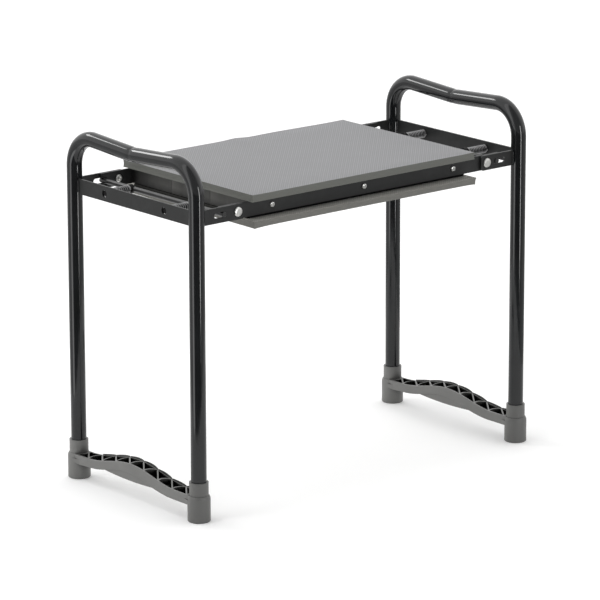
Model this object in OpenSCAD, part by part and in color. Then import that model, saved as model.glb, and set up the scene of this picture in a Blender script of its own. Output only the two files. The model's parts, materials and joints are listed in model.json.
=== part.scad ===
// Folding garden kneeler seat: two bent-tube leg frames with handles, hinged to a flat padded seat.
// Millimetres, +Z up, +X along the seat. The origin is on the ground below the middle of the legs.

/* [Frame] */
// Distance along the seat between the two leg frames' tube axes
leg_span = 570; // [560:1:600]
// Distance across the seat between the front and rear tube axes
tube_gauge = 262; // [256:1:270]
// Height of the top of the handles
overall_h = 489; // [480:1:520]
// Outside diameter of the leg tube
tube_d = 21; // [19:0.5:22]
// Wall thickness of the leg tube
tube_wall = 1.5; // [1:0.1:2]
// Centre-line radius of the handle's corner bends
corner_r = 41.5; // [36:0.5:50]
// Angle at which each half of the handle slopes down to its middle
handle_slope = 3.4; // [1:0.1:5]

/* [Flat steel strips] */
// Height of the rails, arms and cross plates
strip_h = 21; // [20:0.5:24]
// Thickness of the rails, arms and cross plates
strip_t = 2.5; // [2:0.1:2.6]
// Height of the strips' middle line, which is also the fold axes' height
strip_z = 409.5; // [406:0.5:412]

/* [Folding joints] */
// Distance from the left fold axis out to the left tubes
left_arm = 69.5; // [68:0.5:72]
// Distance from the right fold axis out to the right tubes
right_arm = 59; // [57:0.5:60]
// Distance from the left fold axis out to the left lock rod
left_lock_reach = 24; // [22:0.5:26]
// Distance from the right fold axis out to the right lock rod
right_lock_reach = 18; // [17:0.5:20]
// Diameter of the lock rod
lock_rod_d = 7; // [6:0.5:7.5]
// Distance that the lock rod can be pulled outwards
lock_travel = 10; // [6:0.5:10]
// Shank diameter of the pivot rivets
rivet_d = 8; // [6:0.5:9]

/* [Seat] */
// Length of both pads along the seat
pad_l = 394; // [380:1:396]
// Width of the sitting pad
top_pad_w = 278; // [270:1:284]
// Thickness of the sitting pad
top_pad_t = 10; // [8:0.5:14]
// Width of the kneeling pad on the underside
knee_pad_w = 285; // [270:1:290]
// Thickness of the kneeling pad
knee_pad_t = 9; // [7:0.5:9]
// Thickness of the board between the rails and the kneeling pad
board_t = 4.3; // [3:0.1:4.5]
// Distance between neighbouring rail screws
screw_pitch = 160.5; // [150:0.5:162]

/* [Foot braces] */
// Outside diameter of the foot cups
cup_d = 31; // [29:0.5:31]
// Width of the beam between the cups
beam_w = 26; // [24:0.5:28]
// Height of the beam's top edge next to the cups
beam_top = 36; // [33:0.5:38]
// Rise of the hand grip's hump above the beam's ends
hump_rise = 14; // [10:1:20]
// Height of the band along the beam's top edge
band_h = 12; // [10:0.5:13]
// Number of ribbed cells along the beam
cell_count = 8; // [6:1:10]

/* [Hidden] */
$fn = 64;

// A slack that makes cutting solids pass fully through what they cut
through = 1;
// Clearance of a snug fit inside one rigid frame
snug = 0.05;
// Clearance between two pieces that are welded together
weld_gap = 0.02;
// Clearance of a tube in its plastic cup, and of a screw in the rail
push_gap = 0.1;
screw_gap = 0.2;
// Smallest gap between pieces that slide, and between pieces that swing past each other
slide_gap = 0.3;
run_gap = 0.35;
swing_gap = 0.5;

// Leg frame
tube_r = tube_d / 2;
half_span = leg_span / 2;
half_gauge = tube_gauge / 2;
corner_z = overall_h - tube_r - corner_r;
corner_y = half_gauge - corner_r;
corner_turn = 90 + handle_slope;
// Where the corner bend ends and the sloping half of the handle starts
slope_y = corner_y - corner_r * sin(handle_slope);
slope_z = corner_z + corner_r * cos(handle_slope);
slope_l = half_gauge;

// Flat strips
arm_face = half_gauge;
pivot_gap = 0.9;
rail_face = arm_face - strip_t - pivot_gap;
rail_inside = rail_face - strip_t;
// Length of each arm beyond its fold axis
arm_end = 10.5;
arm_corner_r = 4;
left_pivot = -half_span + left_arm;
right_pivot = half_span - right_arm;
seat_mid = (left_pivot + right_pivot) / 2;
strip_top = strip_z + strip_h / 2;
strip_bottom = strip_z - strip_h / 2;

// Lock
rod_r = lock_rod_d / 2;
rod_proud = 1.5;
rod_half_l = arm_face + rod_proud;
rod_edge = 0.6;
pin_r = 3.9;
pin_y = 64;
pin_hole_r = 5;
pin_collar_r = 6.3;
pin_collar_t = 2;
pin_recess = 1.5;
slot_r = rod_r + slide_gap;
slot_spare = 2;
hook_lip = 2;

// Springs
spring_r = 6;
spring_wire = 1;
spring_turns = 8;
spring_steps = 10;

// Rivets and washers
rivet_r = rivet_d / 2;
rivet_head_r = 6.4;
rivet_head_t = 2.4;
rivet_tail_r = 5;
rivet_tail_t = 2.2;
dimple_r = 3.1;
dimple_depth = 1.6;
washer_r = 8;
washer_t = 0.5;

// Seat
pad_z = strip_top;
core_inset = 7;
core_l = pad_l - 2 * core_inset;
core_wall = 2.5;
// Number of bays between the core's ribs along and across the seat
core_bays = 5;
side_bays = 3;
boss_r = 5;
board_inset = 4;
board_w = 2 * (rail_inside - board_inset);
board_end_inset = 5;
board_l = pad_l - 2 * board_end_inset;
screw_r = 2;
screw_head_r = 4;
screw_head_t = 2.4;
screw_edge = 0.7;
screw_l = 14;
recess_l = 4.6;
recess_w = 1;
recess_depth = 1.3;

// Foot brace
cup_r = cup_d / 2;
cup_h = 30;
cup_floor = 4;
cup_edge = 1;
collar_wall = 2.5;
collar_r = tube_r + collar_wall;
shoulder_top = 36;
collar_top = 54;
hump_half_l = 95;
// The hump's +X edge is longer, peaks further back and is a little lower than its -X edge
far_half_l = 105;
far_shift = 14;
far_drop = 1.2;
grip_half_l = 58;
grip_z = 26;
grip_rise = 2.5;
grip_inset = 1;
beam_wall = 2.5;
rib_t = 2;
// Length of the ribbed part that lies inside each cup's outline
cell_end = 9;
cell = (tube_gauge - 2 * cell_end) / cell_count;
cell_shift = 2.5;
scallop_depth = 2.8;
scallop_wall = 0.9;
scallop_foot = 0.3;
// Height of the scalloped lip above the beam's +X edge
lip_rise = 1.2;
blend_l = 16;
// Overlap that joins the beam to each cup
beam_joint = 8;
beam_half_l = half_gauge - collar_r + beam_joint;
profile_step = 5;

module mirrored_y() {
    children();
    mirror([0, 1, 0]) children();
}

// ---------- seat ----------

module slab(l, w, t, z) {
    translate([-l / 2, -w / 2, z]) cube([l, w, t]);
}

module top_pad() {
    color([0.63, 0.63, 0.63]) slab(pad_l, top_pad_w, top_pad_t, pad_z);
}

module kneeling_pad() {
    color([0.41, 0.41, 0.39]) slab(pad_l, knee_pad_w, knee_pad_t, strip_bottom - board_t - knee_pad_t);
}

module kneeling_board() {
    color([0.05, 0.05, 0.05]) slab(board_l, board_w, board_t, strip_bottom - board_t);
}

// Screw positions along a rail
screw_x = [for (i = [-1:1]) seat_mid + i * screw_pitch];

// Moulded core: a skin under the sitting pad, side and end walls, and ribs down to the board
module seat_core() {
    w = 2 * rail_inside;
    boss_l = 2 * screw_head_r + core_wall;
    module ribs() {
        slab(core_l, w, core_wall, strip_top - core_wall);
        for (i = [0:side_bays]) {
            y = -w / 2 + i * (w - core_wall) / side_bays;
            translate([-core_l / 2, y, strip_bottom]) cube([core_l, core_wall, strip_h]);
        }
        for (i = [0:core_bays]) {
            x = -core_l / 2 + i * (core_l - core_wall) / core_bays;
            translate([x, -w / 2, strip_bottom]) cube([core_wall, w, strip_h]);
        }
    }
    module boss(x) {
        translate([x, w / 2, strip_z]) rotate([90, 0, 0]) cylinder(r = boss_r, h = boss_l);
    }
    module pilot(x) {
        translate([x, w / 2 + through, strip_z]) rotate([90, 0, 0]) cylinder(r = screw_r + snug, h = screw_l);
    }
    color([0.33, 0.32, 0.30]) difference() {
        union() {
            ribs();
            mirrored_y() for (x = screw_x) boss(x);
        }
        mirrored_y() for (x = screw_x) pilot(x);
    }
}

// Outline of one rail end in the fold axis's own frame, +X outwards. Below the hook the end
// stays inside the lock rod's swing.
module rail_end(reach) {
    inner = reach - rod_r - swing_gap;
    hook_z = rod_r + run_gap;
    intersection() {
        cylinder(r = inner, h = strip_t);
        translate([-inner, -strip_h / 2, 0]) cube([2 * inner, strip_h, strip_t]);
    }
    translate([0, hook_z, 0]) cube([reach + rod_r + hook_lip, strip_h / 2 - hook_z, strip_t]);
}

// The rear rail, with its outer face towards +Y
module rail() {
    module upright(x, turn) {
        translate([x, rail_face, strip_z]) rotate([90, 0, 0]) rotate([0, turn, 0]) children();
    }
    difference() {
        union() {
            translate([left_pivot, rail_inside, strip_bottom])
                cube([right_pivot - left_pivot, strip_t, strip_h]);
            upright(right_pivot, 0) rail_end(right_lock_reach);
            upright(left_pivot, 0) mirror([1, 0, 0]) rail_end(left_lock_reach);
        }
        for (x = [left_pivot, right_pivot])
            translate([x, rail_face + through, strip_z]) rotate([90, 0, 0])
                cylinder(r = rivet_r + snug, h = strip_t + 2 * through);
        for (x = screw_x)
            translate([x, rail_face + through, strip_z]) rotate([90, 0, 0])
                cylinder(r = screw_r + screw_gap, h = strip_t + 2 * through);
    }
}

module rear_rail() {
    color([0.11, 0.12, 0.12]) rail();
}

module front_rail() {
    color([0.11, 0.12, 0.12]) mirror([0, 1, 0]) rail();
}

// Pan-head screw with a cross recess; its head rests on the rail's outer face
module rail_screw() {
    difference() {
        rotate_extrude() polygon([
            [0, -screw_l + strip_t], [screw_r, -screw_l + strip_t + screw_r], [screw_r, 0],
            [screw_head_r, 0], [screw_head_r, screw_head_t - 2 * screw_edge],
            [screw_head_r - screw_edge, screw_head_t - screw_edge / 2],
            [screw_head_r - 2 * screw_edge, screw_head_t],
            [0, screw_head_t]
        ]);
        for (turn = [0, 90])
            rotate(turn) translate([-recess_l / 2, -recess_w / 2, screw_head_t - recess_depth])
                cube([recess_l, recess_w, recess_depth + through]);
    }
}

module rail_screws() {
    for (x = screw_x)
        translate([x, rail_face, strip_z]) rotate([-90, 45, 0]) rail_screw();
}

module rear_rail_screws() {
    color([0.8, 0.8, 0.78]) rail_screws();
}

module front_rail_screws() {
    color([0.8, 0.8, 0.78]) mirror([0, 1, 0]) rail_screws();
}

// ---------- leg frame, built for the right-hand end of the seat with +X outwards ----------

// Rod of radius r along half of the frame's centre line, from the foot to the crease in mid-handle
module half_frame_run(r, foot_z) {
    translate([0, half_gauge, foot_z]) cylinder(r = r, h = corner_z - foot_z);
    translate([0, corner_y, corner_z]) rotate([90, 0, 90])
        rotate_extrude(angle = corner_turn) translate([corner_r, 0]) circle(r = r);
    intersection() {
        translate([0, slope_y, slope_z]) rotate([90 + handle_slope, 0, 0]) cylinder(r = r, h = slope_l);
        translate([-tube_d, 0, corner_z]) cube([2 * tube_d, tube_gauge, 2 * corner_r]);
    }
}

module leg_tube() {
    difference() {
        mirrored_y() half_frame_run(tube_r, cup_floor + push_gap);
        mirrored_y() half_frame_run(tube_r - tube_wall, cup_floor + push_gap - through);
    }
}

// Both tubes as cutting solids
module tube_cutters() {
    mirrored_y() translate([0, half_gauge, strip_bottom - through])
        cylinder(r = tube_r + weld_gap, h = strip_h + 2 * through);
}

module cross_plate() {
    difference() {
        translate([-strip_t / 2, -half_gauge, strip_bottom]) cube([strip_t, tube_gauge, strip_h]);
        tube_cutters();
        mirrored_y() translate([-strip_t, pin_y, strip_z]) rotate([0, 90, 0])
            cylinder(r = pin_hole_r, h = 2 * strip_t);
    }
}

// Rear arm, from the tube inwards past the fold axis, with the slot that the lock rod slides in
module arm(reach, lock_reach) {
    low = -reach - arm_end;
    slot_l = lock_travel + slot_spare;
    module across(x, r) {
        translate([x, arm_face + through, strip_z]) rotate([90, 0, 0])
            cylinder(r = r, h = strip_t + 2 * through);
    }
    module corner(side) {
        translate([low + arm_corner_r, arm_face, strip_z + side * (strip_h / 2 - arm_corner_r)])
            rotate([90, 0, 0]) cylinder(r = arm_corner_r, h = strip_t);
    }
    difference() {
        union() {
            translate([low + arm_corner_r, arm_face - strip_t, strip_bottom])
                cube([-low - arm_corner_r, strip_t, strip_h]);
            translate([low, arm_face - strip_t, strip_bottom + arm_corner_r])
                cube([2 * arm_corner_r, strip_t, strip_h - 2 * arm_corner_r]);
            for (side = [-1, 1]) corner(side);
        }
        tube_cutters();
        across(-reach, rivet_r + snug);
        across(-reach + lock_reach, slot_r);
        across(-reach + lock_reach + slot_l, slot_r);
        translate([-reach + lock_reach, arm_face - strip_t - through, strip_z - slot_r])
            cube([slot_l, strip_t + 2 * through, 2 * slot_r]);
    }
}

// Rear pivot rivet: outer head, shank through arm and rail, and a dimpled tail inside the rail
module rivet(reach) {
    tail = -(2 * strip_t + pivot_gap + slide_gap);
    translate([-reach, arm_face, strip_z]) rotate([-90, 0, 0]) rotate_extrude() polygon([
        [0, rivet_head_t], [0.6 * rivet_head_r, rivet_head_t], [0.88 * rivet_head_r, 0.8 * rivet_head_t],
        [rivet_head_r, 0.45 * rivet_head_t], [rivet_head_r, 0], [rivet_r, 0],
        [rivet_r, tail], [rivet_tail_r, tail], [rivet_tail_r, tail - 0.7 * rivet_tail_t],
        [0.8 * rivet_tail_r, tail - rivet_tail_t], [dimple_r, tail - rivet_tail_t],
        [0.5 * dimple_r, tail - rivet_tail_t + dimple_depth], [0, tail - rivet_tail_t + dimple_depth]
    ]);
}

// Thin washers between the arms and the rails
module pivot_washers(reach) {
    mirrored_y() translate([-reach, arm_face - strip_t, strip_z]) rotate([90, 0, 0]) difference() {
        cylinder(r = washer_r, h = washer_t);
        translate([0, 0, -through]) cylinder(r = rivet_r + snug, h = washer_t + 2 * through);
    }
}

// ---------- lock ----------

module lock_rod(x) {
    translate([x, 0, strip_z]) rotate([90, 0, 0]) rotate_extrude() polygon([
        [0, -rod_half_l], [rod_r - rod_edge, -rod_half_l], [rod_r, -rod_half_l + rod_edge],
        [rod_r, rod_half_l - rod_edge], [rod_r - rod_edge, rod_half_l], [0, rod_half_l]
    ]);
}

// Two pins welded to the rod; they slide through the cross plate and carry the springs
module guide_pins(x) {
    end = strip_t / 2 - pin_recess;
    mirrored_y() difference() {
        translate([x, pin_y, strip_z]) rotate([0, 90, 0]) union() {
            cylinder(r = pin_r, h = end - x);
            cylinder(r = pin_collar_r, h = rod_r + pin_collar_t);
        }
        translate([x, pin_y + 2 * pin_collar_r, strip_z]) rotate([90, 0, 0])
            cylinder(r = rod_r + weld_gap, h = 4 * pin_collar_r);
        translate([x - 2 * pin_collar_r, pin_y - 2 * pin_collar_r, strip_z - 2 * pin_collar_r])
            cube([2 * pin_collar_r, 4 * pin_collar_r, 4 * pin_collar_r]);
    }
}

// One compression spring of square wire, from z = 0 up
module coil(l) {
    pitch = (l - spring_wire) / spring_turns;
    sweep = 360 * spring_wire / pitch;
    inner = spring_r - spring_wire;
    linear_extrude(height = l, twist = -360 * spring_turns, slices = spring_turns * spring_steps, $fn = 6)
        polygon(concat(
            [for (i = [0:2]) spring_r * [cos(i * sweep / 2), sin(i * sweep / 2)]],
            [for (i = [2:-1:0]) inner * [cos(i * sweep / 2), sin(i * sweep / 2)]]
        ));
}

module lock_springs(x) {
    start = x + rod_r + pin_collar_t + slide_gap;
    mirrored_y() translate([start, pin_y, strip_z]) rotate([0, 90, 0])
        coil(-strip_t / 2 - snug - start);
}

// ---------- foot brace ----------

// Raised-cosine hump of the given rise, centred on y = 0
function hump(y, half_l, rise) = abs(y) < half_l ? rise * (1 + cos(180 * y / half_l)) / 2 : 0;
// Height of the beam's top edge at y on its -X side and on its +X side
function near_top_z(y) = beam_top + hump(y, hump_half_l, hump_rise);
function far_top_z(y) = beam_top - far_drop + hump(y - far_shift, far_half_l, hump_rise);
function lowest_top_z(y) = min(near_top_z(y), far_top_z(y));
// Height of the beam's underside at y: the band's lower edge, or the grip's belly in the middle
function beam_low_z(y) =
    abs(y) < grip_half_l ? grip_z + grip_rise * pow(y / grip_half_l, 2) : lowest_top_z(y) - band_h;

function stations(half_l) = [for (i = [-1:profile_step / half_l:1.0001]) min(1, i) * half_l];

// Side-view slab from x0 to x1, between the heights low(y) and high(y)
module side_slab(x0, x1, half_l, low, high) {
    ys = stations(half_l);
    translate([x0, 0, 0]) rotate([90, 0, 90]) linear_extrude(x1 - x0) polygon(concat(
        [for (y = ys) [y, low(y)]],
        [for (i = [len(ys) - 1:-1:0]) [ys[i], high(ys[i])]]
    ));
}

// Side-view slab whose top runs from the -X edge's height to the +X edge's height
module twisted_slab(w, half_l, low, near, far) {
    ys = stations(half_l);
    last = len(ys) - 1;
    points = [for (y = ys) each [
        [-w / 2, y, low(y)], [-w / 2, y, near(y)], [w / 2, y, far(y)], [w / 2, y, low(y)]
    ]];
    polyhedron(points, concat(
        [[0, 1, 2, 3], [for (k = [3:-1:0]) 4 * last + k]],
        [for (i = [0:last - 1]) let(a = 4 * i, b = a + 4) each [
            [a, b, b + 1, a + 1],
            [a + 1, b + 1, a + 2], [b + 1, b + 2, a + 2],
            [a + 2, b + 2, b + 3, a + 3],
            [a + 3, b + 3, b, a]
        ]]
    ));
}

// Zigzag of straight ribs, with a quarter-circle rib across the beam at each joint of the zigzag
module beam_ribs() {
    inner_w = beam_w - beam_wall;
    arc_r = inner_w / sqrt(2);
    lean = atan2(cell, inner_w);
    rib_l = norm([cell, inner_w]);
    for (i = [0:cell_count - 1]) {
        y = (cell_count / 2 - i - 0.5) * cell + cell_shift;
        translate([0, y, 0]) rotate(lean) translate([-rib_l / 2, -rib_t / 2, 0])
            cube([rib_l, rib_t, collar_top]);
    }
    for (i = [1:cell_count - 1]) {
        y = (cell_count / 2 - i) * cell + cell_shift;
        translate([0, y - inner_w / 2, 0]) intersection() {
            difference() {
                cylinder(r = arc_r + rib_t / 2, h = collar_top);
                translate([0, 0, -through]) cylinder(r = arc_r - rib_t / 2, h = collar_top + 2 * through);
            }
            translate([-inner_w / 2 - rib_t / 2, inner_w / 2 - rib_t, 0])
                cube([inner_w + rib_t, arc_r, collar_top]);
        }
    }
}

// Open-topped cells between the ribs
module beam_pockets() {
    difference() {
        side_slab(
            beam_wall - beam_w / 2, beam_w / 2 - beam_wall, half_gauge - collar_r - rib_t / 4,
            function (y) beam_low_z(y) + beam_wall, function (y) lowest_top_z(y) + band_h
        );
        beam_ribs();
        mirrored_y() translate([0, half_gauge, 0]) cylinder(r = collar_r + rib_t, h = collar_top);
    }
}

// Upright bulges beyond the +X side, one per cell, as deep as depth and as long as length
module bulges(depth, length, low, high) {
    r = (pow(length / 2, 2) / depth + depth) / 2;
    intersection() {
        for (i = [1:cell_count - 1])
            translate([beam_w / 2 + depth - r, (cell_count / 2 - i - 0.5) * cell + cell_shift, 0])
                cylinder(r = r, h = collar_top);
        side_slab(beam_w / 2 - scallop_foot, beam_w / 2 + cup_r, half_gauge - collar_r, low, high);
    }
}

// Scalloped lip along the beam's +X side, with a thin slot behind each scallop
module scallops() {
    difference() {
        bulges(
            scallop_depth - scallop_foot, cell - rib_t,
            function (y) far_top_z(y) - band_h, function (y) far_top_z(y) + lip_rise
        );
        translate([scallop_foot, 0, 0]) bulges(
            scallop_depth - scallop_wall - 2 * scallop_foot, cell - 2 * rib_t,
            function (y) far_top_z(y) - band_h + beam_wall, function (y) far_top_z(y) + lip_rise + through
        );
    }
}

// Tapers from the beam's width out to the cup's, so that the beam runs smoothly into the cup
module cup_blend() {
    r = cup_r - snug;
    touch = atan2(beam_w / 2, blend_l) + acos(r / norm([beam_w / 2, blend_l]));
    translate([0, half_gauge, beam_top - band_h])
        linear_extrude(cup_h - beam_top + band_h) polygon([
            [0, 0], [r * sin(touch), -r * cos(touch)],
            [beam_w / 2, -blend_l], [-beam_w / 2, -blend_l],
            [-r * sin(touch), -r * cos(touch)]
        ]);
}

module foot_cup() {
    shoulder = [for (a = [0:15:90]) [
        collar_r + (cup_r - collar_r) * cos(a), cup_h + (shoulder_top - cup_h) * sin(a)
    ]];
    translate([0, half_gauge, 0]) rotate_extrude() polygon(concat(
        [[0, 0], [cup_r - cup_edge, 0], [cup_r, cup_edge]],
        shoulder,
        [[collar_r, collar_top], [0, collar_top]]
    ));
}

module foot_brace() {
    difference() {
        union() {
            mirrored_y() foot_cup();
            mirrored_y() cup_blend();
            twisted_slab(
                beam_w, beam_half_l,
                function (y) lowest_top_z(y) - band_h, function (y) near_top_z(y), function (y) far_top_z(y)
            );
            side_slab(
                grip_inset - beam_w / 2, beam_w / 2 - grip_inset, grip_half_l,
                function (y) beam_low_z(y), function (y) lowest_top_z(y) - through
            );
            scallops();
        }
        mirrored_y() translate([0, half_gauge, cup_floor])
            cylinder(r = tube_r + push_gap, h = collar_top);
        beam_pockets();
    }
}

// ---------- the two ends ----------

module at_right() {
    translate([half_span, 0, 0]) children();
}

module at_left() {
    translate([-half_span, 0, 0]) mirror([1, 0, 0]) children();
}

tube_colour = [0.13, 0.14, 0.14];
strip_colour = [0.17, 0.18, 0.18];
zinc_colour = [0.83, 0.83, 0.81];
moulding_colour = [0.43, 0.43, 0.42];

module left_leg_tube() {
    color(tube_colour) at_left() leg_tube();
}

module left_cross_plate() {
    color(strip_colour) at_left() cross_plate();
}

module left_rear_arm() {
    color(strip_colour) at_left() arm(left_arm, left_lock_reach);
}

module left_front_arm() {
    color(strip_colour) at_left() mirror([0, 1, 0]) arm(left_arm, left_lock_reach);
}

// Both braces come from one mould, so the left one isn't mirrored
module left_foot_brace() {
    color(moulding_colour) translate([-half_span, 0, 0]) foot_brace();
}

module left_rear_rivet() {
    color(zinc_colour) at_left() rivet(left_arm);
}

module left_front_rivet() {
    color(zinc_colour) at_left() mirror([0, 1, 0]) rivet(left_arm);
}

module left_pivot_washers() {
    color(zinc_colour) at_left() pivot_washers(left_arm);
}

module left_lock_rod() {
    color(strip_colour) at_left() lock_rod(left_lock_reach - left_arm);
}

module left_guide_pins() {
    color(strip_colour) at_left() guide_pins(left_lock_reach - left_arm);
}

module left_lock_springs() {
    color(zinc_colour) at_left() lock_springs(left_lock_reach - left_arm);
}

module right_leg_tube() {
    color(tube_colour) at_right() leg_tube();
}

module right_cross_plate() {
    color(strip_colour) at_right() cross_plate();
}

module right_rear_arm() {
    color(strip_colour) at_right() arm(right_arm, right_lock_reach);
}

module right_front_arm() {
    color(strip_colour) at_right() mirror([0, 1, 0]) arm(right_arm, right_lock_reach);
}

module right_foot_brace() {
    color(moulding_colour) at_right() foot_brace();
}

module right_rear_rivet() {
    color(zinc_colour) at_right() rivet(right_arm);
}

module right_front_rivet() {
    color(zinc_colour) at_right() mirror([0, 1, 0]) rivet(right_arm);
}

module right_pivot_washers() {
    color(zinc_colour) at_right() pivot_washers(right_arm);
}

module right_lock_rod() {
    color(strip_colour) at_right() lock_rod(right_lock_reach - right_arm);
}

module right_guide_pins() {
    color(strip_colour) at_right() guide_pins(right_lock_reach - right_arm);
}

module right_lock_springs() {
    color(zinc_colour) at_right() lock_springs(right_lock_reach - right_arm);
}

top_pad();
kneeling_pad();
kneeling_board();
seat_core();
front_rail();
rear_rail();
front_rail_screws();
rear_rail_screws();
left_leg_tube();
left_cross_plate();
left_front_arm();
left_rear_arm();
left_foot_brace();
left_front_rivet();
left_rear_rivet();
left_pivot_washers();
left_lock_rod();
left_guide_pins();
left_lock_springs();
right_leg_tube();
right_cross_plate();
right_front_arm();
right_rear_arm();
right_foot_brace();
right_front_rivet();
right_rear_rivet();
right_pivot_washers();
right_lock_rod();
right_guide_pins();
right_lock_springs();
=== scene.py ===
# Garden kneeler seat: finishes, foam pads, bent tubes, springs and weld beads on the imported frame. Metres.
import json
import math

import bpy
import numpy as np
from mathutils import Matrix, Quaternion, Vector, noise


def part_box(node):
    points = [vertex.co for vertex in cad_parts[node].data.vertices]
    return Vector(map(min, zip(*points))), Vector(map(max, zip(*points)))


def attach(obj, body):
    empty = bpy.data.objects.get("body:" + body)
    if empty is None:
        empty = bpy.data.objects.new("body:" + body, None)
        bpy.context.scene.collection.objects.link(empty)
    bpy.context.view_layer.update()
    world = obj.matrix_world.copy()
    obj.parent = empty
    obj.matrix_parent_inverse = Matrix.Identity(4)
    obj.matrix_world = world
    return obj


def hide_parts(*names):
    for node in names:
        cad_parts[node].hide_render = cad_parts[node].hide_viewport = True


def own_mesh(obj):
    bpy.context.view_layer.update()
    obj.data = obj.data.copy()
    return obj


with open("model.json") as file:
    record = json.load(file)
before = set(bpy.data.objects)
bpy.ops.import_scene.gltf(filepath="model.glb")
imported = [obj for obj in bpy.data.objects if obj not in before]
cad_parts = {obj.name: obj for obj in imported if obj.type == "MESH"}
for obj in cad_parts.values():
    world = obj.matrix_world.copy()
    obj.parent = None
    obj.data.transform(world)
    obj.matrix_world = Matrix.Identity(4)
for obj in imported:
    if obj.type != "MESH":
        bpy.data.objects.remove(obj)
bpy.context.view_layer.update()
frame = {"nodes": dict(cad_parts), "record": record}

MM = 0.001
ENDS = {"left": -1, "right": 1}
STRIP_LOW, STRIP_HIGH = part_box("front_rail")
STRIP_Z = (STRIP_LOW[2] + STRIP_HIGH[2]) / 2
CORE_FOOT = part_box("seat_core")[0][2]
SEAM_Y = 41 * MM

# Foam emboss: distance between rows along X and along Y
EMBOSS_PITCH = (3.70 * MM, 3.97 * MM)

# Foot braces: painted shade darkens the front cups from here forwards
FRONT_CUP_SHADE_Y = (-118 * MM, -134 * MM)

# Leg tubes
CORNER_R = 41.5 * MM
CREASE_R = 12 * MM
HANDLE_SLOPE = math.radians(3.4)
LEG_STEPS = 24
CORNER_STEPS = 28
HANDLE_STEPS = 26
PINCH_DEPTH = 0.45 * MM
PINCH_WIDTH = 3.5 * MM
TUBE_SIDES = 48

# Lock springs; the wire is given as its radius
SPRING_WIRE_R = 0.62 * MM
SPRING_TURNS = 12.5
SPRING_DEAD_TURNS = 0.9
SPRING_STEPS = 20
WIRE_SIDES = 12

# Weld beads
BEAD_R = 1.5 * MM
BEAD_STEPS = 56
BEAD_RIPPLES = 7
BEAD_SIDES = 14
BEAD_INSET = 1.2 * MM

# Foam pads
PAD_SLACK = 0.1 * MM
PAD_CELL = 8 * MM
PAD_LIPS = [0.35 * MM, 1.4 * MM, 5 * MM]
PAD_LAYERS = (0, 0.06, 0.28, 0.5, 0.72, 0.94, 1)
PAD_SIDE_PINCH = 0.25 * MM
PAD_WANDER = 0.35 * MM
WANDER_SCALE = 22
RELAX_CAP = 0.7 * MM
RELAX_FRAMES = 20

# Camera, fitted to the photo
CAMERA_AZIMUTH = -40.01
CAMERA_ELEVATION = 14.77
CAMERA_ROLL = math.radians(-0.14)
CAMERA_DISTANCE = 5.725
CAMERA_LENS = 249.8
CAMERA_AIM = Vector((0, 0, 0.2268))

# Studio brightness; TABLE_R is how far the floor shows in glossy paint
STUDIO_WHITE = 1.32
FRONT_SHADE = 0.85
DARK_ROOM = 0.12
SIDE_ROOM = 0.60
BACK_ROOM = 0.60
LEFT_PANEL = 2.8
PANEL_IN_SKY = 0.35
TABLE_R = 0.72
FLOOR_R = 40.0
FLOOR_GLOW = 0.06


# ---------------------------------------------------------------- node helpers

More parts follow.
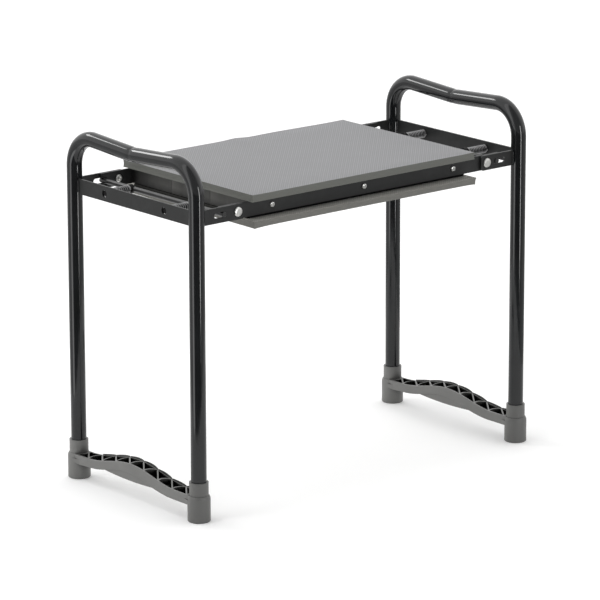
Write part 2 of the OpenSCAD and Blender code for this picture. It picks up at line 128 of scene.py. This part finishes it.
class Finish:
    """A material with a Principled shader, and short ways to add and join nodes."""

    def __init__(self, name, **sockets):
        self.material = bpy.data.materials.new(name)
        self.material.use_nodes = True
        self.tree = self.material.node_tree
        self.shader = self.tree.nodes["Principled BSDF"]
        for socket, value in sockets.items():
            self.shader.inputs[socket.replace("_", " ")].default_value = value
        self.place = self.add("ShaderNodeTexCoord").outputs["Object"]
        self.bump_chain = None

    def add(self, kind, inputs=None, **settings):
        node = self.tree.nodes.new(kind)
        for name, value in settings.items():
            setattr(node, name, value)
        for name, value in (inputs or {}).items():
            if isinstance(value, bpy.types.NodeSocket):
                self.tree.links.new(value, node.inputs[name])
            else:
                node.inputs[name].default_value = value
        return node

    def math(self, operation, a, b=0.0):
        return self.add("ShaderNodeMath", {0: a, 1: b}, operation=operation).outputs[0]

    def noise(self, scale, detail=3.0, rough=0.5, place=None):
        return self.add("ShaderNodeTexNoise", {
            "Vector": place or self.place, "Scale": scale, "Detail": detail, "Roughness": rough,
        }).outputs["Fac"]

    def remap(self, value, low, high, to_low, to_high):
        return self.add("ShaderNodeMapRange", {
            "Value": value, "From Min": low, "From Max": high, "To Min": to_low, "To Max": to_high,
        }).outputs["Result"]

    def tint(self, factor, colour_a, colour_b):
        node = self.add("ShaderNodeMix", data_type="RGBA")
        self.tree.links.new(factor, node.inputs["Factor"])
        for socket, colour in (("A", colour_a), ("B", colour_b)):
            target = [s for s in node.inputs if s.name == socket and s.type == "RGBA"][0]
            if isinstance(colour, bpy.types.NodeSocket):
                self.tree.links.new(colour, target)
            else:
                target.default_value = (*colour, 1)
        return [s for s in node.outputs if s.type == "RGBA"][0]

    def set(self, socket, value):
        self.tree.links.new(value, self.shader.inputs[socket])

    def paint(self, colour, gloss, reach, dark, low, high, alone):
        """Base colour and gloss, both falling to the share dark inside holes up to reach deep: painted
        shade.
        """
        openness = self.add("ShaderNodeAmbientOcclusion", {"Distance": reach}, samples=6, only_local=alone)
        share = self.remap(openness.outputs["AO"], low, high, dark, 1)
        hole_shaded_colour = self.add("ShaderNodeVectorMath", {0: colour, "Scale": share}, operation="SCALE")
        self.set("Base Color", hole_shaded_colour.outputs[0])
        self.set("Specular IOR Level", self.math("MULTIPLY", share, gloss))

    def split(self, vector):
        """The X, Y and Z sockets of a vector socket."""
        return self.add("ShaderNodeSeparateXYZ", {"Vector": vector}).outputs

    def facing(self):
        """The X, Y and Z sockets of the surface normal."""
        return self.split(self.add("ShaderNodeNewGeometry").outputs["Normal"])

    def stretched(self, scale):
        """Object coordinates stretched by scale, for lines and streaks."""
        return self.add("ShaderNodeMapping", {"Vector": self.place, "Scale": scale}).outputs[0]

    def bump(self, height, strength, distance):
        inputs = {"Height": height, "Strength": strength, "Distance": distance}
        if self.bump_chain:
            inputs["Normal"] = self.bump_chain
        self.bump_chain = self.add("ShaderNodeBump", inputs).outputs["Normal"]
        self.set("Normal", self.bump_chain)


# ---------------------------------------------------------------- finishes

def gloss_paint():
    """Near-black gloss powder coat with a faint orange peel and a little dust."""
    f = Finish("gloss_paint", Specular_IOR_Level=0.45)
    dust = f.remap(f.noise(18, 4), 0.35, 0.75, 0, 1)
    f.set("Base Color", f.tint(dust, (0.005, 0.0055, 0.006), (0.009, 0.010, 0.011)))
    f.set("Roughness", f.remap(f.noise(60, 5, 0.6), 0.3, 0.8, 0.07, 0.16))
    f.bump(f.noise(160, 2), 0.12, 0.25 * MM)
    return f.material


def satin_paint():
    """Satin black powder coat with its fine grain, a little lighter where it has been rubbed; painted shade
    darkens it inside holes.
    """
    f = Finish("satin_paint")
    rub = f.remap(f.noise(26, 6, 0.65), 0.52, 0.78, 0, 1)
    base = f.tint(rub, (0.010, 0.0105, 0.0105), (0.020, 0.021, 0.021))
    # Painted shade inside holes and slots
    f.paint(base, gloss=0.38, reach=5 * MM, dark=0.1, low=0.3, high=0.7, alone=True)
    f.set("Roughness", f.remap(f.noise(90, 4), 0.3, 0.7, 0.36, 0.50))
    f.bump(f.noise(1600, 3, 0.6), 0.16, 0.12 * MM)
    return f.material


def rod_black():
    """Black-oxide rod with drawn lines along it; painted shade darkens it inside holes and close to other
    parts.
    """
    f = Finish("rod_black")
    streak = f.noise(1, 3, 0.6, f.stretched((1500, 30, 1500)))
    base = f.tint(streak, (0.012, 0.012, 0.013), (0.028, 0.028, 0.028))
    # Painted shade inside holes and close to other parts
    f.paint(base, gloss=0.5, reach=6 * MM, dark=0.05, low=0.35, high=0.6, alone=False)
    f.set("Roughness", f.remap(streak, 0.3, 0.7, 0.26, 0.44))
    f.bump(streak, 0.15, 0.05 * MM)
    return f.material


def zinc(name, roughness, low, high):
    """Zinc plating: bright, with faint spangle and small stains."""
    f = Finish(name, Metallic=1.0)
    spangle = f.add("ShaderNodeTexVoronoi", {"Vector": f.place, "Scale": 900}).outputs["Distance"]
    stain = f.noise(160, 5, 0.65)
    f.set("Base Color", f.tint(f.remap(stain, 0.35, 0.75, 0, 1), high, low))
    f.set("Roughness", f.remap(stain, 0.3, 0.8, roughness * 0.8, roughness * 1.5))
    f.bump(spangle, 0.06, 0.08 * MM)
    return f.material


def foot_plastic():
    """Grey moulded plastic: spark-eroded grain, flow marks, a few pale scuffs; painted shade on the front
    cups and in the pockets.
    """
    f = Finish("foot_plastic")
    flow = f.noise(14, 4, 0.55)
    scuff = f.remap(f.noise(1, 6, 0.7, f.stretched((60, 18, 160))), 0.66, 0.74, 0, 0.5)
    # Painted shade: the front cups darker
    front = f.remap(f.split(f.place)["Y"], *FRONT_CUP_SHADE_Y, 0, 1)
    base = f.tint(f.remap(flow, 0.3, 0.7, 0, 1), (0.128, 0.128, 0.123), (0.150, 0.150, 0.144))
    base = f.tint(front, base, (0.102, 0.102, 0.098))
    base = f.tint(scuff, base, (0.20, 0.20, 0.19))
    # Painted shade in the pockets and inner corners
    f.paint(base, gloss=0.5, reach=30 * MM, dark=0.02, low=0.34, high=0.80, alone=True)
    f.set("Roughness", f.remap(f.noise(70, 5), 0.3, 0.7, 0.40, 0.54))
    f.bump(f.noise(1900, 2), 0.22, 0.10 * MM)
    f.bump(flow, 0.10, 0.6 * MM)
    return f.material


def core_plastic():
    """Grey-brown moulded core with draw marks and two seams; painted shade darkens it to the rear and at the
    bottom, and a painted highlight lightens each bay beside a seam.
    """
    f = Finish("core_plastic")
    _, y, z = f.split(f.place)
    off_seam = f.math("ABSOLUTE", f.math("SUBTRACT", f.math("ABSOLUTE", y), SEAM_Y))
    seam = f.remap(off_seam, 0.4 * MM, 1.2 * MM, 1, 0)
    bay_for_highlight = f.math("FRACT", f.math("DIVIDE", f.math("ADD", y, SEAM_Y), 2 * SEAM_Y))
    draw = f.noise(1, 4, 0.6, f.stretched((260, 260, 12)))
    # Painted shade towards the rear and the bottom
    rear_shade = f.remap(y, 60 * MM, 120 * MM, 0, 0.9)
    foot_shade = f.remap(z, CORE_FOOT + 9 * MM, CORE_FOOT + 3 * MM, 0, 0.5)
    base = f.tint(draw, (0.037, 0.0365, 0.034), (0.050, 0.049, 0.045))
    # Painted highlight on the quarter of each bay just to the -Y side of a seam
    base = f.tint(f.remap(bay_for_highlight, 0.76, 1, 0, 1), base, (0.078, 0.077, 0.071))
    base = f.tint(rear_shade, base, (0, 0, 0))
    base = f.tint(foot_shade, base, (0, 0, 0))
    f.set("Base Color", f.tint(seam, base, (0.024, 0.023, 0.022)))
    f.set("Roughness", f.remap(f.noise(80, 4), 0.3, 0.7, 0.52, 0.68))
    f.bump(f.noise(1500, 2), 0.2, 0.1 * MM)
    return f.material


def pin_black():
    """Dull black pins, darker than the rods, partly as painted shade of their holes."""
    f = Finish("pin_black", Roughness=0.6, Specular_IOR_Level=0.12)
    f.set("Base Color", f.tint(f.noise(300, 4, 0.6), (0.003, 0.003, 0.003), (0.007, 0.007, 0.007)))
    f.bump(f.noise(1200, 2), 0.2, 0.05 * MM)
    return f.material


def board_black():
    """Black board, seen only as a dark line between the rail and the pad. Its tone is set by facing as
    painted light and shade: the ends dark grey, the other faces near black.
    """
    f = Finish("board_black", Roughness=0.8, Specular_IOR_Level=0.06)
    # Painted light and shade by facing
    end_facing = f.remap(f.math("ABSOLUTE", f.facing()["X"]), 0.5, 0.8, 0, 1)
    edge = f.tint(f.noise(200, 5, 0.7), (0.001, 0.001, 0.001), (0.003, 0.003, 0.003))
    f.set("Base Color", f.tint(end_facing, edge, (0.034, 0.034, 0.032)))
    f.bump(f.noise(700, 4), 0.3, 0.15 * MM)
    return f.material


def scaled(colour, share):
    return [c * share for c in colour]


def foam(name, skin, cut):
    """Closed-cell foam: embossed diamonds on the skin faces, torn fine cells on the cut edges; the flat skin
    faces are lighter than the cut edges, partly as painted light.
    """
    f = Finish(name, Roughness=0.78)
    x, y, _ = f.split(f.place)
    # Flat faces: real skin, and partly painted light
    skin_and_painted_light = f.remap(f.math("ABSOLUTE", f.facing()["Z"]), 0.55, 0.85, 0, 1)
    wave_x, wave_y = (2 * math.pi / pitch for pitch in EMBOSS_PITCH)
    along = f.math("MULTIPLY", x, wave_x)
    across = f.math("MULTIPLY", y, wave_y)
    rising = f.math("SUBTRACT", along, across)
    rows = f.math("COSINE", rising)
    falling = f.math("COSINE", f.math("ADD", along, across))
    diamonds = f.math("MULTIPLY", f.math("ADD", rows, falling), 0.25)
    pairs = f.math("MULTIPLY", f.math("COSINE", f.math("MULTIPLY", rising, 0.5)), 0.4)
    cells = f.add("ShaderNodeTexVoronoi", {"Vector": f.place, "Scale": 1500}).outputs["Distance"]
    mottle = f.remap(f.noise(30, 5, 0.6), 0.3, 0.7, 0, 1)
    painted_lit_skin_tone = f.tint(mottle, scaled(skin, 0.97), scaled(skin, 1.04))
    # Painted shade in the emboss grooves
    groove_painted_shade = f.remap(f.math("ADD", f.math("MULTIPLY", rows, 1.5), pairs), -1.5, 1.5, 0, 1)
    painted_lit_skin_tone = f.tint(groove_painted_shade, scaled(skin, 0.80), painted_lit_skin_tone)
    cut_tone = f.tint(f.remap(cells, 0.1, 0.7, 0, 1), scaled(cut, 0.88), scaled(cut, 1.08))
    f.set("Base Color", f.tint(skin_and_painted_light, cut_tone, painted_lit_skin_tone))
    f.bump(f.math("MULTIPLY", diamonds, skin_and_painted_light), 0.5, 0.25 * MM)
    f.bump(cells, 0.25, 0.12 * MM)
    f.bump(f.noise(120, 3), 0.12, 0.5 * MM)
    return f.material


SLOT_FINISH = {
    "tube_paint": gloss_paint(),
    "strip_paint": satin_paint(),
    "rod_paint": rod_black(),
    "zinc": zinc("rivet_zinc", 0.34, (0.52, 0.52, 0.50), (0.66, 0.66, 0.64)),
    "screw_steel": zinc("screw_zinc", 0.22, (0.50, 0.50, 0.49), (0.74, 0.74, 0.72)),
    "spring_zinc": zinc("spring_steel", 0.34, (0.20, 0.20, 0.20), (0.34, 0.34, 0.345)),
    "foot_plastic": foot_plastic(),
    "core": core_plastic(),
    "board": board_black(),
    "foam_top": foam("foam_top", (0.275, 0.276, 0.283), (0.118, 0.121, 0.109)),
    # The kneeling pad's skin is lighter than the sitting pad's: painted light against the shade under the
    # rail
    "foam_bottom": foam("foam_bottom", (0.36, 0.355, 0.325), (0.142, 0.140, 0.127)),
}


def finish_cad_nodes():
    """Each CAD node takes its slot's finish; steel and plastic edges get a small round."""
    slots = {s["node"]: s["material_slot"] for s in frame["record"]["subparts"]}
    edge_round = {"strip_paint": 0.35, "core": 0.5, "foot_plastic": 0.5, "board": 0.3}
    pins = pin_black()
    for name, node in frame["nodes"].items():
        node.data.materials.clear()
        node.data.materials.append(pins if name.endswith("guide_pins") else SLOT_FINISH[slots[name]])
        if slots[name] in edge_round:
            bevel = node.modifiers.new("edge_round", "BEVEL")
            bevel.width = edge_round[slots[name]] * MM
            bevel.segments = 2
            bevel.limit_method = "ANGLE"
            bevel.angle_limit = math.radians(40)
            bevel.harden_normals = False


# ---------------------------------------------------------------- mesh helpers

def piece(name, verts, faces, slot, body, replaces=(), smooth_angle=None):
    """A finished mesh piece in the frame, riding on its body."""
    mesh = bpy.data.meshes.new(name)
    mesh.from_pydata([tuple(v) for v in verts], [], faces)
    mesh.validate()
    obj = bpy.data.objects.new(name, mesh)
    bpy.context.scene.collection.objects.link(obj)
    mesh.materials.append(SLOT_FINISH[slot])
    shade(obj, smooth_angle)
    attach(obj, body)
    if replaces:
        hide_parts(*replaces)
    return obj


def shade(obj, smooth_angle=None):
    """Smooth shading, with edges sharper than smooth_angle (degrees) kept hard."""
    for polygon in obj.data.polygons:
        polygon.use_smooth = True
    if smooth_angle is not None:
        obj.data.set_sharp_from_angle(angle=math.radians(smooth_angle))


def sweep(path, radii, side, sides=40):
    """Verts and faces of a round bar along path. side(i) is a unit vector square to the path at point i."""
    verts, faces = [], []
    count = len(path)
    for i, point in enumerate(path):
        ahead = path[min(i + 1, count - 1)] - path[max(i - 1, 0)]
        a = side(i)
        b = ahead.normalized().cross(a)
        for k in range(sides):
            angle = 2 * math.pi * k / sides
            verts.append(point + radii(i) * (a * math.cos(angle) + b * math.sin(angle)))
    for i in range(count - 1):
        for k in range(sides):
            n = (k + 1) % sides
            faces.append((i * sides + k, i * sides + n, (i + 1) * sides + n, (i + 1) * sides + k))
    faces.append(tuple(range(sides))[::-1])
    faces.append(tuple(range((count - 1) * sides, count * sides)))
    return verts, faces


# ---------------------------------------------------------------- leg tubes

def leg_path(x, low, high, radius, gauge):
    """Centre line of a leg frame: up the rear leg, over the dipped handle and down the front leg."""
    corner_y = gauge / 2 - CORNER_R
    corner_z = high - radius - CORNER_R
    points = [(gauge / 2, low + (corner_z - low) * i / LEG_STEPS) for i in range(LEG_STEPS)]
    turn = math.pi / 2 + HANDLE_SLOPE
    for i in range(CORNER_STEPS + 1):
        a = turn * i / CORNER_STEPS
        points.append((corner_y + CORNER_R * math.cos(a), corner_z + CORNER_R * math.sin(a)))
    crease_y = CREASE_R * math.sin(HANDLE_SLOPE)
    start_y, start_z = points[-1]
    end_z = start_z - (start_y - crease_y) * math.tan(HANDLE_SLOPE)
    for i in range(1, HANDLE_STEPS + 1):
        t = 1 - (1 - i / HANDLE_STEPS) ** 2
        points.append((start_y + (crease_y - start_y) * t, start_z + (end_z - start_z) * t))
    crease_z = end_z + CREASE_R * math.cos(HANDLE_SLOPE)
    for a in (HANDLE_SLOPE * 0.6, HANDLE_SLOPE * 0.25):
        points.append((CREASE_R * math.sin(a), crease_z - CREASE_R * math.cos(a)))
    half = [Vector((x, y, z)) for y, z in points]
    middle = Vector((x, 0, crease_z - CREASE_R))
    return half + [middle] + [Vector((p.x, -p.y, p.z)) for p in reversed(half)]


def leg_tube(end):
    """One smooth bent tube in place of the CAD tube, slightly pinched in mid-handle."""
    node = f"{end}_leg_tube"
    low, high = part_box(node)
    radius = (high[0] - low[0]) / 2
    x = (high[0] + low[0]) / 2
    gauge = high[1] - low[1] - 2 * radius
    path = leg_path(x, low[2], high[2], radius, gauge)

    def pinched(i):
        return radius - PINCH_DEPTH * math.exp(-(path[i].y / PINCH_WIDTH) ** 2)

    verts, faces = sweep(path, pinched, lambda i: Vector((1, 0, 0)), TUBE_SIDES)
    piece(f"{end}_bent_tube", verts, faces, "tube_paint", f"{end}_leg", [node], 60)


# ---------------------------------------------------------------- lock springs

def lock_springs(end):
    """Two round-wire compression springs between the rod's pin collars and the cross plate."""
    node = f"{end}_lock_springs"
    low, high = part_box(node)
    outward = ENDS[end]
    seat_x = high[0] if outward > 0 else low[0]
    length = high[0] - low[0]
    outer = (high[2] - low[2]) / 2
    wire, turns, dead_turns = SPRING_WIRE_R, SPRING_TURNS, SPRING_DEAD_TURNS
    mean = outer - wire
    verts, faces = [], []
    for y in (low[1] + outer, high[1] - outer):
        path, spokes = [], []
        for i in range(int(turns * SPRING_STEPS) + 1):
            t = i / (turns * SPRING_STEPS)
            turn = t * turns
            live = min(max((turn - dead_turns) / (turns - 2 * dead_turns), 0), 1)
            closed = min(turn, dead_turns) + max(turn - turns + dead_turns, 0)
            x = wire + closed * 2 * wire + live * (length - 2 * wire - 4 * dead_turns * wire)
            a = turn * 2 * math.pi
            spoke = Vector((0, math.cos(a), math.sin(a)))
            path.append(Vector((seat_x - outward * x, y, STRIP_Z)) + mean * spoke)
            spokes.append(spoke)
        coil_verts, coil_faces = sweep(path, lambda i: wire, lambda i: spokes[i], WIRE_SIDES)
        faces += [tuple(n + len(verts) for n in face) for face in coil_faces]
        verts += coil_verts
    spring = piece(f"{end}_coil_springs", verts, faces, "spring_zinc", f"{end}_leg", [node], 60)
    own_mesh(spring)


# ---------------------------------------------------------------- weld beads

def weld_bead(name, x, y, low_z, high_z, body):
    """An upright, rippled fillet of weld."""
    start, end_point = Vector((x, y, low_z)), Vector((x, y, high_z))
    path = [start.lerp(end_point, i / BEAD_STEPS) for i in range(BEAD_STEPS + 1)]

    def radii(i):
        t = i / BEAD_STEPS
        taper = min(1, 8 * t, 8 * (1 - t)) ** 0.5 if 0 < t < 1 else 0.15
        ripple = 0.16 * abs(math.sin(BEAD_RIPPLES * math.pi * t))
        return BEAD_R * taper * (0.86 + ripple + 0.05 * noise.noise(path[i] * 900))

    verts, faces = sweep(path, radii, lambda i: Vector((1, 0, 0)), BEAD_SIDES)
    piece(name, verts, faces, "tube_paint", body, smooth_angle=75)


def weld_beads(end):
    """Beads where the cross plate and the arms meet the tubes."""
    out = ENDS[end]
    body = f"{end}_leg"
    tube_low, tube_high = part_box(f"{end}_leg_tube")
    tube_r = (tube_high[0] - tube_low[0]) / 2
    tube_x = (tube_low[0] + tube_high[0]) / 2
    plate_low, plate_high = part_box(f"{end}_cross_plate")
    arm_low, arm_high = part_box(f"{end}_front_arm")
    low_z, high_z = plate_low[2] + BEAD_INSET, plate_high[2] - BEAD_INSET
    plate_face = (plate_high[0] - plate_low[0]) / 2 + 0.2 * BEAD_R
    thickness = arm_high[1] - arm_low[1]
    for row, sign in (("front", -1), ("rear", 1)):
        tube_y = sign * (tube_high[1] - tube_r)
        for face, x_sign in (("outer", out), ("inner", -out)):
            x = tube_x + x_sign * plate_face
            y = tube_y - sign * math.sqrt(tube_r ** 2 - plate_face ** 2)
            weld_bead(f"{end}_{row}_plate_weld_{face}", x, y, low_z, high_z, body)
        for face, offset in (("outer", 0.1 * BEAD_R), ("inner", -thickness - 0.1 * BEAD_R)):
            x = tube_x - out * math.sqrt(tube_r ** 2 - offset ** 2)
            y = tube_y + sign * offset
            weld_bead(f"{end}_{row}_arm_weld_{face}", x, y, low_z, high_z, body)


# ---------------------------------------------------------------- foam pads

def graded(low, high, cell, lips):
    """Coordinates from low to high, about one per cell, with closer ones (lips) inside each end."""
    inner_low, inner_high = low + lips[-1], high - lips[-1]
    count = max(1, round((inner_high - inner_low) / cell))
    middle = [inner_low + (inner_high - inner_low) * i / count for i in range(1, count)]
    return [low] + [low + s for s in lips] + middle + [high - s for s in reversed(lips)] + [high]


def slab_mesh(xs, ys, zs):
    """Closed box of quads on the given grid lines."""
    index, verts, faces = {}, [], []

    def vert(i, j, k):
        key = (i, j, k)
        if key not in index:
            index[key] = len(verts)
            verts.append(Vector((xs[i], ys[j], zs[k])))
        return index[key]

    nx, ny, nz = len(xs) - 1, len(ys) - 1, len(zs) - 1
    for i in range(nx):
        for j in range(ny):
            faces.append((vert(i, j, 0), vert(i, j + 1, 0), vert(i + 1, j + 1, 0), vert(i + 1, j, 0)))
            faces.append((vert(i, j, nz), vert(i + 1, j, nz), vert(i + 1, j + 1, nz), vert(i, j + 1, nz)))
    for i in range(nx):
        for k in range(nz):
            faces.append((vert(i, 0, k), vert(i + 1, 0, k), vert(i + 1, 0, k + 1), vert(i, 0, k + 1)))
            faces.append((vert(i, ny, k), vert(i, ny, k + 1), vert(i + 1, ny, k + 1), vert(i + 1, ny, k)))
    for j in range(ny):
        for k in range(nz):
            faces.append((vert(0, j, k), vert(0, j, k + 1), vert(0, j + 1, k + 1), vert(0, j + 1, k)))
            faces.append((vert(nx, j, k), vert(nx, j + 1, k), vert(nx, j + 1, k + 1), vert(nx, j, k + 1)))
    return verts, faces


def relax_foam(obj, pinned_z):
    """A short cloth run under slight pressure; the glued face is pinned and every move is capped."""
    rest = np.array([v.co for v in obj.data.vertices])
    group = obj.vertex_groups.new(name="glued")
    group.add([v.index for v in obj.data.vertices if abs(v.co.z - pinned_z) < 0.1 * MM], 1.0, "REPLACE")
    cloth = obj.modifiers.new("foam_relax", "CLOTH")
    settings = cloth.settings
    settings.vertex_group_mass = "glued"
    settings.use_pressure = True
    settings.uniform_pressure_force = 4.0
    settings.effector_weights.gravity = 0.0
    settings.tension_stiffness = 40
    settings.compression_stiffness = 40
    settings.bending_stiffness = 8
    settings.quality = 6
    cloth.point_cache.frame_start = 1
    cloth.point_cache.frame_end = RELAX_FRAMES
    scene = bpy.context.scene
    for frame_number in range(1, RELAX_FRAMES + 1):
        scene.frame_set(frame_number)
    evaluated = obj.evaluated_get(bpy.context.evaluated_depsgraph_get())
    moved = np.array([v.co for v in evaluated.data.vertices]) - rest
    obj.modifiers.remove(cloth)
    obj.vertex_groups.clear()
    scene.frame_set(1)
    length = np.linalg.norm(moved, axis=1, keepdims=True)
    capped = moved * np.minimum(1, RELAX_CAP / np.maximum(length, 1e-9))
    for vert, co in zip(obj.data.vertices, rest + capped):
        vert.co = co


def foam_pad(name, node, slot, glued_side, cut_lean, warp):
    """A die-cut foam sheet: crisp edges, sides pulled in a little; warp(u, v) lifts its free face.

    glued_side is -1 if its underside is glued and 1 if its top is; cut_lean is how far its lower edge
    is pulled in.
    """
    low, high = (Vector(c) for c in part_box(node))
    xs = graded(low.x + PAD_SLACK, high.x - PAD_SLACK, PAD_CELL, PAD_LIPS)
    ys = graded(low.y + PAD_SLACK, high.y - PAD_SLACK, PAD_CELL, PAD_LIPS)
    z_low = low.z + (PAD_SLACK if glued_side > 0 else 0)
    z_high = high.z - (PAD_SLACK if glued_side < 0 else 0)
    depth = z_high - z_low
    zs = [z_low + depth * t for t in PAD_LAYERS]
    verts, faces = slab_mesh(xs, ys, zs)
    centre = (low + high) / 2
    for v in verts:
        t = (v.z - z_low) / depth
        pinch = cut_lean * (1 - t) + PAD_SIDE_PINCH * math.sin(math.pi * t)
        for axis in (0, 1):
            reach = (high[axis] - low[axis]) / 2
            side = (v[axis] - centre[axis]) / reach
            v[axis] -= math.copysign(pinch * abs(side) ** 12, side)
        wander = noise.noise(Vector((v.x * WANDER_SCALE, v.y * WANDER_SCALE, glued_side * 3.0)))
        edge = max(abs(v.x - centre.x) / (high.x - low.x), abs(v.y - centre.y) / (high.y - low.y)) * 2
        if edge > 0.9:
            v.x += PAD_WANDER * wander * (1 if v.x > centre.x else -1)
            v.y += PAD_WANDER * noise.noise(Vector((v.y * WANDER_SCALE, v.x * WANDER_SCALE, 7.0)))
        free = t if glued_side < 0 else 1 - t
        v.z += free * warp((v.x - centre.x) / (high.x - low.x) * 2, (v.y - centre.y) / (high.y - low.y) * 2)
    obj = piece(name, verts, faces, slot, "seat", [node])
    relax_foam(obj, z_low if glued_side < 0 else z_high)
    subdivision = obj.modifiers.new("soft_edges", "SUBSURF")
    subdivision.levels = subdivision.render_levels = 1


def rear_edge_wave(u, v):
    """Height of the sitting pad's gentle wave at u along and v across it, both -1 to 1."""
    rear = max(0, v) ** 3
    left_half = 0.9 / (1 + math.exp((u - 0.06) / 0.03))
    middle_hump = 1.2 * math.exp(-((u + 0.01) / 0.07) ** 2)
    right_hump = 0.5 * math.exp(-((u - 0.37) / 0.2) ** 2)
    return MM * rear * (left_half + middle_hump + right_hump)


def corner_sag(u, v):
    """Height of the kneeling pad's sagging ends at u along and v across it, both -1 to 1."""
    front_left = 1.4 * max(0, -u) ** 10 * (1 - v) / 2
    right_end = 0.9 * max(0, u) ** 12
    return -MM * (front_left + right_end)


# ---------------------------------------------------------------- stage

def compass(azimuth, elevation):
    """Unit vector from the object towards azimuth and elevation in degrees; azimuth 0 is the front."""
    a, e = math.radians(azimuth), math.radians(elevation)
    return Vector((math.sin(a) * math.cos(e), -math.cos(a) * math.cos(e), math.sin(e)))


def world_light():
    """White studio, shaded in front, above the horizon; below it a darker room. A panel on the left."""
    world = bpy.data.worlds.new("studio")
    bpy.context.scene.world = world
    world.use_nodes = True
    tree = world.node_tree

    def node(kind, inputs, operation=None, output=0):
        made = tree.nodes.new(kind)
        if operation:
            made.operation = operation
        for key, value in inputs.items():
            if isinstance(value, bpy.types.NodeSocket):
                tree.links.new(value, made.inputs[key])
            else:
                made.inputs[key].default_value = value
        return made.outputs[output]

    def ramp(value, low, high, to_low, to_high):
        out = node("ShaderNodeMapRange", {"Value": value, "From Min": low, "From Max": high,
                                          "To Min": to_low, "To Max": to_high})
        out.node.interpolation_type = "SMOOTHSTEP"
        return out

    direction = tree.nodes.new("ShaderNodeTexCoord").outputs["Generated"]
    level = node("ShaderNodeVectorMath", {0: direction, 1: (1, 1, 0)}, "MULTIPLY")
    level = node("ShaderNodeVectorMath", {0: level}, "NORMALIZE")
    height = node("ShaderNodeSeparateXYZ", {"Vector": direction}, output=2)

    def towards(azimuth):
        return node("ShaderNodeVectorMath", {0: level, 1: compass(azimuth, 0)}, "DOT_PRODUCT", 1)

    # Each ramp runs between two cosines of the angle from the azimuth that it names
    side = ramp(towards(80), 0.25, 0.55, DARK_ROOM, SIDE_ROOM)
    back = ramp(towards(-165), 0.45, 0.75, 0.0, BACK_ROOM)
    panel = ramp(towards(-99), math.cos(math.radians(15)), math.cos(math.radians(10)), 0.0, LEFT_PANEL)
    shaded = ramp(towards(-30), 0.2, 0.9, STUDIO_WHITE, STUDIO_WHITE - FRONT_SHADE)
    room = node("ShaderNodeMath", {0: side, 1: back}, "ADD")
    below = node("ShaderNodeMath", {0: room, 1: panel}, "ADD")
    sky = node("ShaderNodeMath", {0: panel, 1: PANEL_IN_SKY}, "MULTIPLY")
    sky = node("ShaderNodeMath", {0: sky, 1: shaded}, "ADD")
    mix = node("ShaderNodeMix", {0: ramp(height, -0.03, 0.05, 0.0, 1.0), 2: below, 3: sky})
    background = tree.nodes["Background"]
    tree.links.new(mix, background.inputs["Strength"])
    background.inputs["Color"].default_value = (1, 1, 1, 1)


def area_light(name, place, aim, size, radiance, lights_matt=True):
    """A rectangular softbox at place, turned to aim; lights_matt=False keeps it to reflections only."""
    data = bpy.data.lights.new(name, "AREA")
    data.shape = "RECTANGLE"
    data.size, data.size_y = size
    data.energy = radiance * math.pi * size[0] * size[1]
    light = bpy.data.objects.new(name, data)
    light.location = place
    light.rotation_mode = "QUATERNION"
    light.rotation_quaternion = (Vector(place) - Vector(aim)).to_track_quat("Z", "Y")
    light.visible_diffuse = lights_matt
    bpy.context.scene.collection.objects.link(light)


def floor_ring(name, inner, outer, finish, mirrored):
    """A flat ring of the pale floor, or a disc if inner is 0; mirrored says if glossy paint shows it."""
    sides = 96
    turn = [2 * math.pi * k / sides for k in range(sides)]
    verts = [(r * math.cos(a), r * math.sin(a), 0) for r in (inner, outer) for a in turn]
    faces = [(k, sides + k, sides + (k + 1) % sides, (k + 1) % sides) for k in range(sides)]
    if inner == 0:
        verts, faces = verts[sides:], [tuple(range(sides))]
    mesh = bpy.data.meshes.new(name)
    mesh.from_pydata(verts, [], faces)
    mesh.materials.append(finish)
    ring = bpy.data.objects.new(name, mesh)
    ring.visible_glossy = mirrored
    bpy.context.scene.collection.objects.link(ring)


def studio():
    """Pale floor, camera and soft lights."""
    back = compass(CAMERA_AZIMUTH, CAMERA_ELEVATION)
    data = bpy.data.cameras.new("photo_camera")
    data.lens = CAMERA_LENS
    camera = bpy.data.objects.new("photo_camera", data)
    camera.location = CAMERA_AIM + back * CAMERA_DISTANCE
    camera.rotation_mode = "QUATERNION"
    camera.rotation_quaternion = Quaternion(back, CAMERA_ROLL) @ back.to_track_quat("Z", "Y")
    bpy.context.scene.collection.objects.link(camera)
    bpy.context.scene.camera = camera
    world_light()
    area_light("back_softbox", (-0.62, 1.55, 1.60), (0, 0, 0.45), (0.55, 0.34), 9.0)
    area_light("front_strip", (0.09, -2.83, 0.55), (0, -0.1, 0.55), (0.36, 2.0), 12.0, lights_matt=False)
    f = Finish("pale_floor", Roughness=0.9, Emission_Color=(1, 1, 1, 1), Emission_Strength=FLOOR_GLOW)
    f.set("Base Color", f.tint(f.noise(3, 2), (0.96, 0.96, 0.96), (0.98, 0.98, 0.98)))
    floor_ring("floor_near", 0, TABLE_R, f.material, True)
    floor_ring("floor_far", TABLE_R, FLOOR_R, f.material, False)
    bpy.context.scene.view_settings.view_transform = "Standard"


studio()
finish_cad_nodes()
for end in ENDS:
    leg_tube(end)
    lock_springs(end)
    weld_beads(end)
foam_pad("sitting_foam", "top_pad", "foam_top", -1, 0.3 * MM, rear_edge_wave)
foam_pad("kneeling_foam", "kneeling_pad", "foam_bottom", 1, 1.0 * MM, corner_sag)
